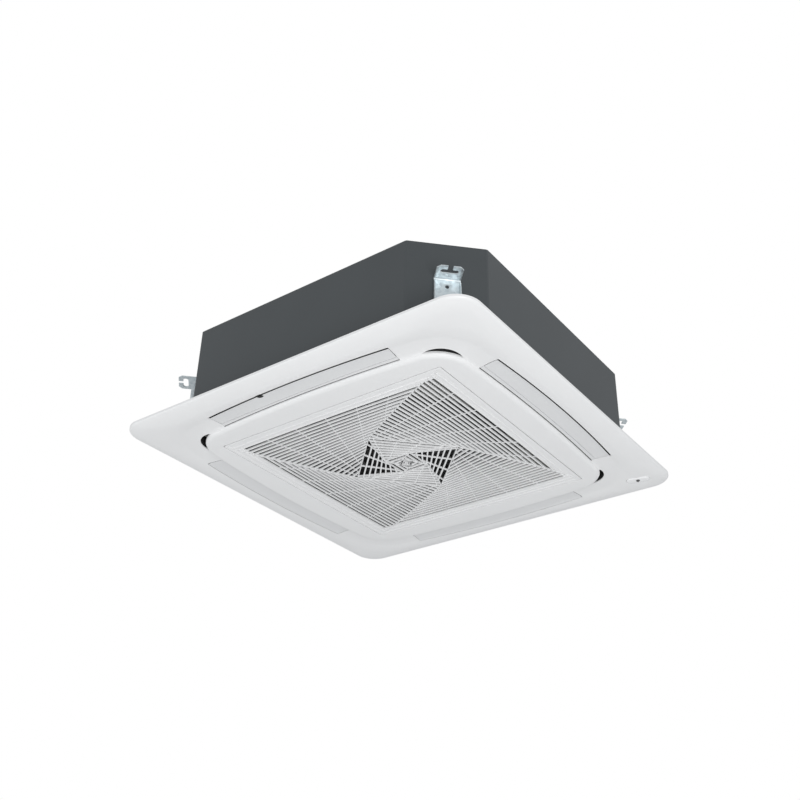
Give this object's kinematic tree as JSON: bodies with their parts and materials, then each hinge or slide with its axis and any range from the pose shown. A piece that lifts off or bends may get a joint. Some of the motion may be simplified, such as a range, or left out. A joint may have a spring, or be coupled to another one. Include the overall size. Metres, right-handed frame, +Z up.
{
  "type": "ceiling cassette air conditioner",
  "caption": "Square ceiling cassette indoor unit with a whirl intake grille, an outlet flap on each side, a steel body with hanger ears, fan, coil, drain pan and pump.",
  "frame": {"origin": "centre of the unit on the ceiling plane, which is the back face of the panel's rim", "axes": "+Z up into the ceiling void, -Y the front side with the logo place, +X to its right seen from above, pipes and drain at -X"},
  "size_m": [0.95, 0.95, 0.256],
  "materials": {
    "white_plastic": "fine matt moulding",
    "flap_plastic": "fine matt moulding",
    "dark_steel": "dark grey coated sheet",
    "zinc_steel": "galvanised sheet",
    "bare_steel": "turned and pressed steel",
    "foam": "moulded foam",
    "dark_foam": "dark moulded foam",
    "fin_pack": "thin fins, seen edge on",
    "copper_tube": "drawn copper",
    "brass": "machined",
    "black_plastic": "matt moulding",
    "grey_plastic": "matt moulding",
    "rubber": "matt",
    "board": "coated board",
    "lens": "polished dark window"
  },
  "bodies": {
    "unit": {"cabinet_shell": "dark_steel", "top_plate": "dark_steel", "insulation_liner": "foam", "drain_pan": "foam", "coil": "fin_pack", "coil_end_left": "copper_tube", "coil_end_back": "copper_tube", "bell_mouth": "black_plastic", "fan_motor": "bare_steel", "drain_pump": "flap_plastic", "drain_hose": "grey_plastic", "drain_socket": "grey_plastic", "float_stem": "flap_plastic", "gas_pipe": "copper_tube", "liquid_pipe": "copper_tube", "gas_flare_nut": "brass", "liquid_flare_nut": "brass", "pipe_plate": "zinc_steel", "panel_frame": "white_plastic", "receiver_plate": "white_plastic", "receiver_lens": "lens", "control_box": "zinc_steel", "control_lid": "zinc_steel", "control_board": "board", "motor_mount_1": "rubber", "motor_mount_2": "rubber", "motor_mount_3": "rubber", "motor_mount_4": "rubber", "hanger_right_back": "zinc_steel", "hanger_left_back": "zinc_steel", "hanger_left_front": "zinc_steel", "hanger_right_front": "zinc_steel", "outlet_duct_front": "dark_foam", "flap_motor_front": "bare_steel", "outlet_duct_right": "dark_foam", "flap_motor_right": "bare_steel", "outlet_duct_back": "dark_foam", "flap_motor_back": "bare_steel", "outlet_duct_left": "dark_foam", "flap_motor_left": "bare_steel"},
    "fan": {"turbo_fan": "grey_plastic", "motor_shaft": "bare_steel", "fan_nut": "bare_steel"},
    "grille": {"intake_grille": "white_plastic", "filter_frame": "black_plastic", "filter_net": "black_plastic"},
    "latch_left": {"grille_latch_left": "flap_plastic"},
    "latch_right": {"grille_latch_right": "flap_plastic"},
    "float_ring": {"float": "black_plastic"},
    "flap_front_body": {"flap_front": "flap_plastic"},
    "flap_right_body": {"flap_right": "flap_plastic"},
    "flap_back_body": {"flap_back": "flap_plastic"},
    "flap_left_body": {"flap_left": "flap_plastic"}
  },
  "joints": [
    {"name": "fan_spin", "type": "hinge", "parent": "unit", "child": "fan", "pos_m": [0, 0, 0.15], "axis": [0, 0, 1], "continuous": true},
    {"name": "flap_front_hinge", "type": "hinge", "parent": "unit", "child": "flap_front_body", "pos_m": [0, -0.386, -0.0095], "axis": [1, 0, 0], "range_deg": [0, 45]},
    {"name": "flap_right_hinge", "type": "hinge", "parent": "unit", "child": "flap_right_body", "pos_m": [0.386, 0, -0.0095], "axis": [0, 1, 0], "range_deg": [0, 45]},
    {"name": "flap_back_hinge", "type": "hinge", "parent": "unit", "child": "flap_back_body", "pos_m": [0, 0.386, -0.0095], "axis": [-1, 0, 0], "range_deg": [0, 45]},
    {"name": "flap_left_hinge", "type": "hinge", "parent": "unit", "child": "flap_left_body", "pos_m": [-0.386, 0, -0.0095], "axis": [0, -1, 0], "range_deg": [0, 45]},
    {"name": "grille_hinge", "type": "hinge", "parent": "unit", "child": "grille", "pos_m": [0, 0.3, -0.0235], "axis": [1, 0, 0], "range_deg": [0, 90]},
    {"name": "latch_left_slide", "type": "slide", "parent": "grille", "child": "latch_left", "axis": [0, 1, 0], "range_m": [0, 0.008], "stiffness_N_per_m": 400},
    {"name": "latch_right_slide", "type": "slide", "parent": "grille", "child": "latch_right", "axis": [0, 1, 0], "range_m": [0, 0.008], "stiffness_N_per_m": 400},
    {"name": "float_rise", "type": "slide", "parent": "unit", "child": "float_ring", "axis": [0, 0, 1], "range_m": [0, 0.008]}
  ]
}
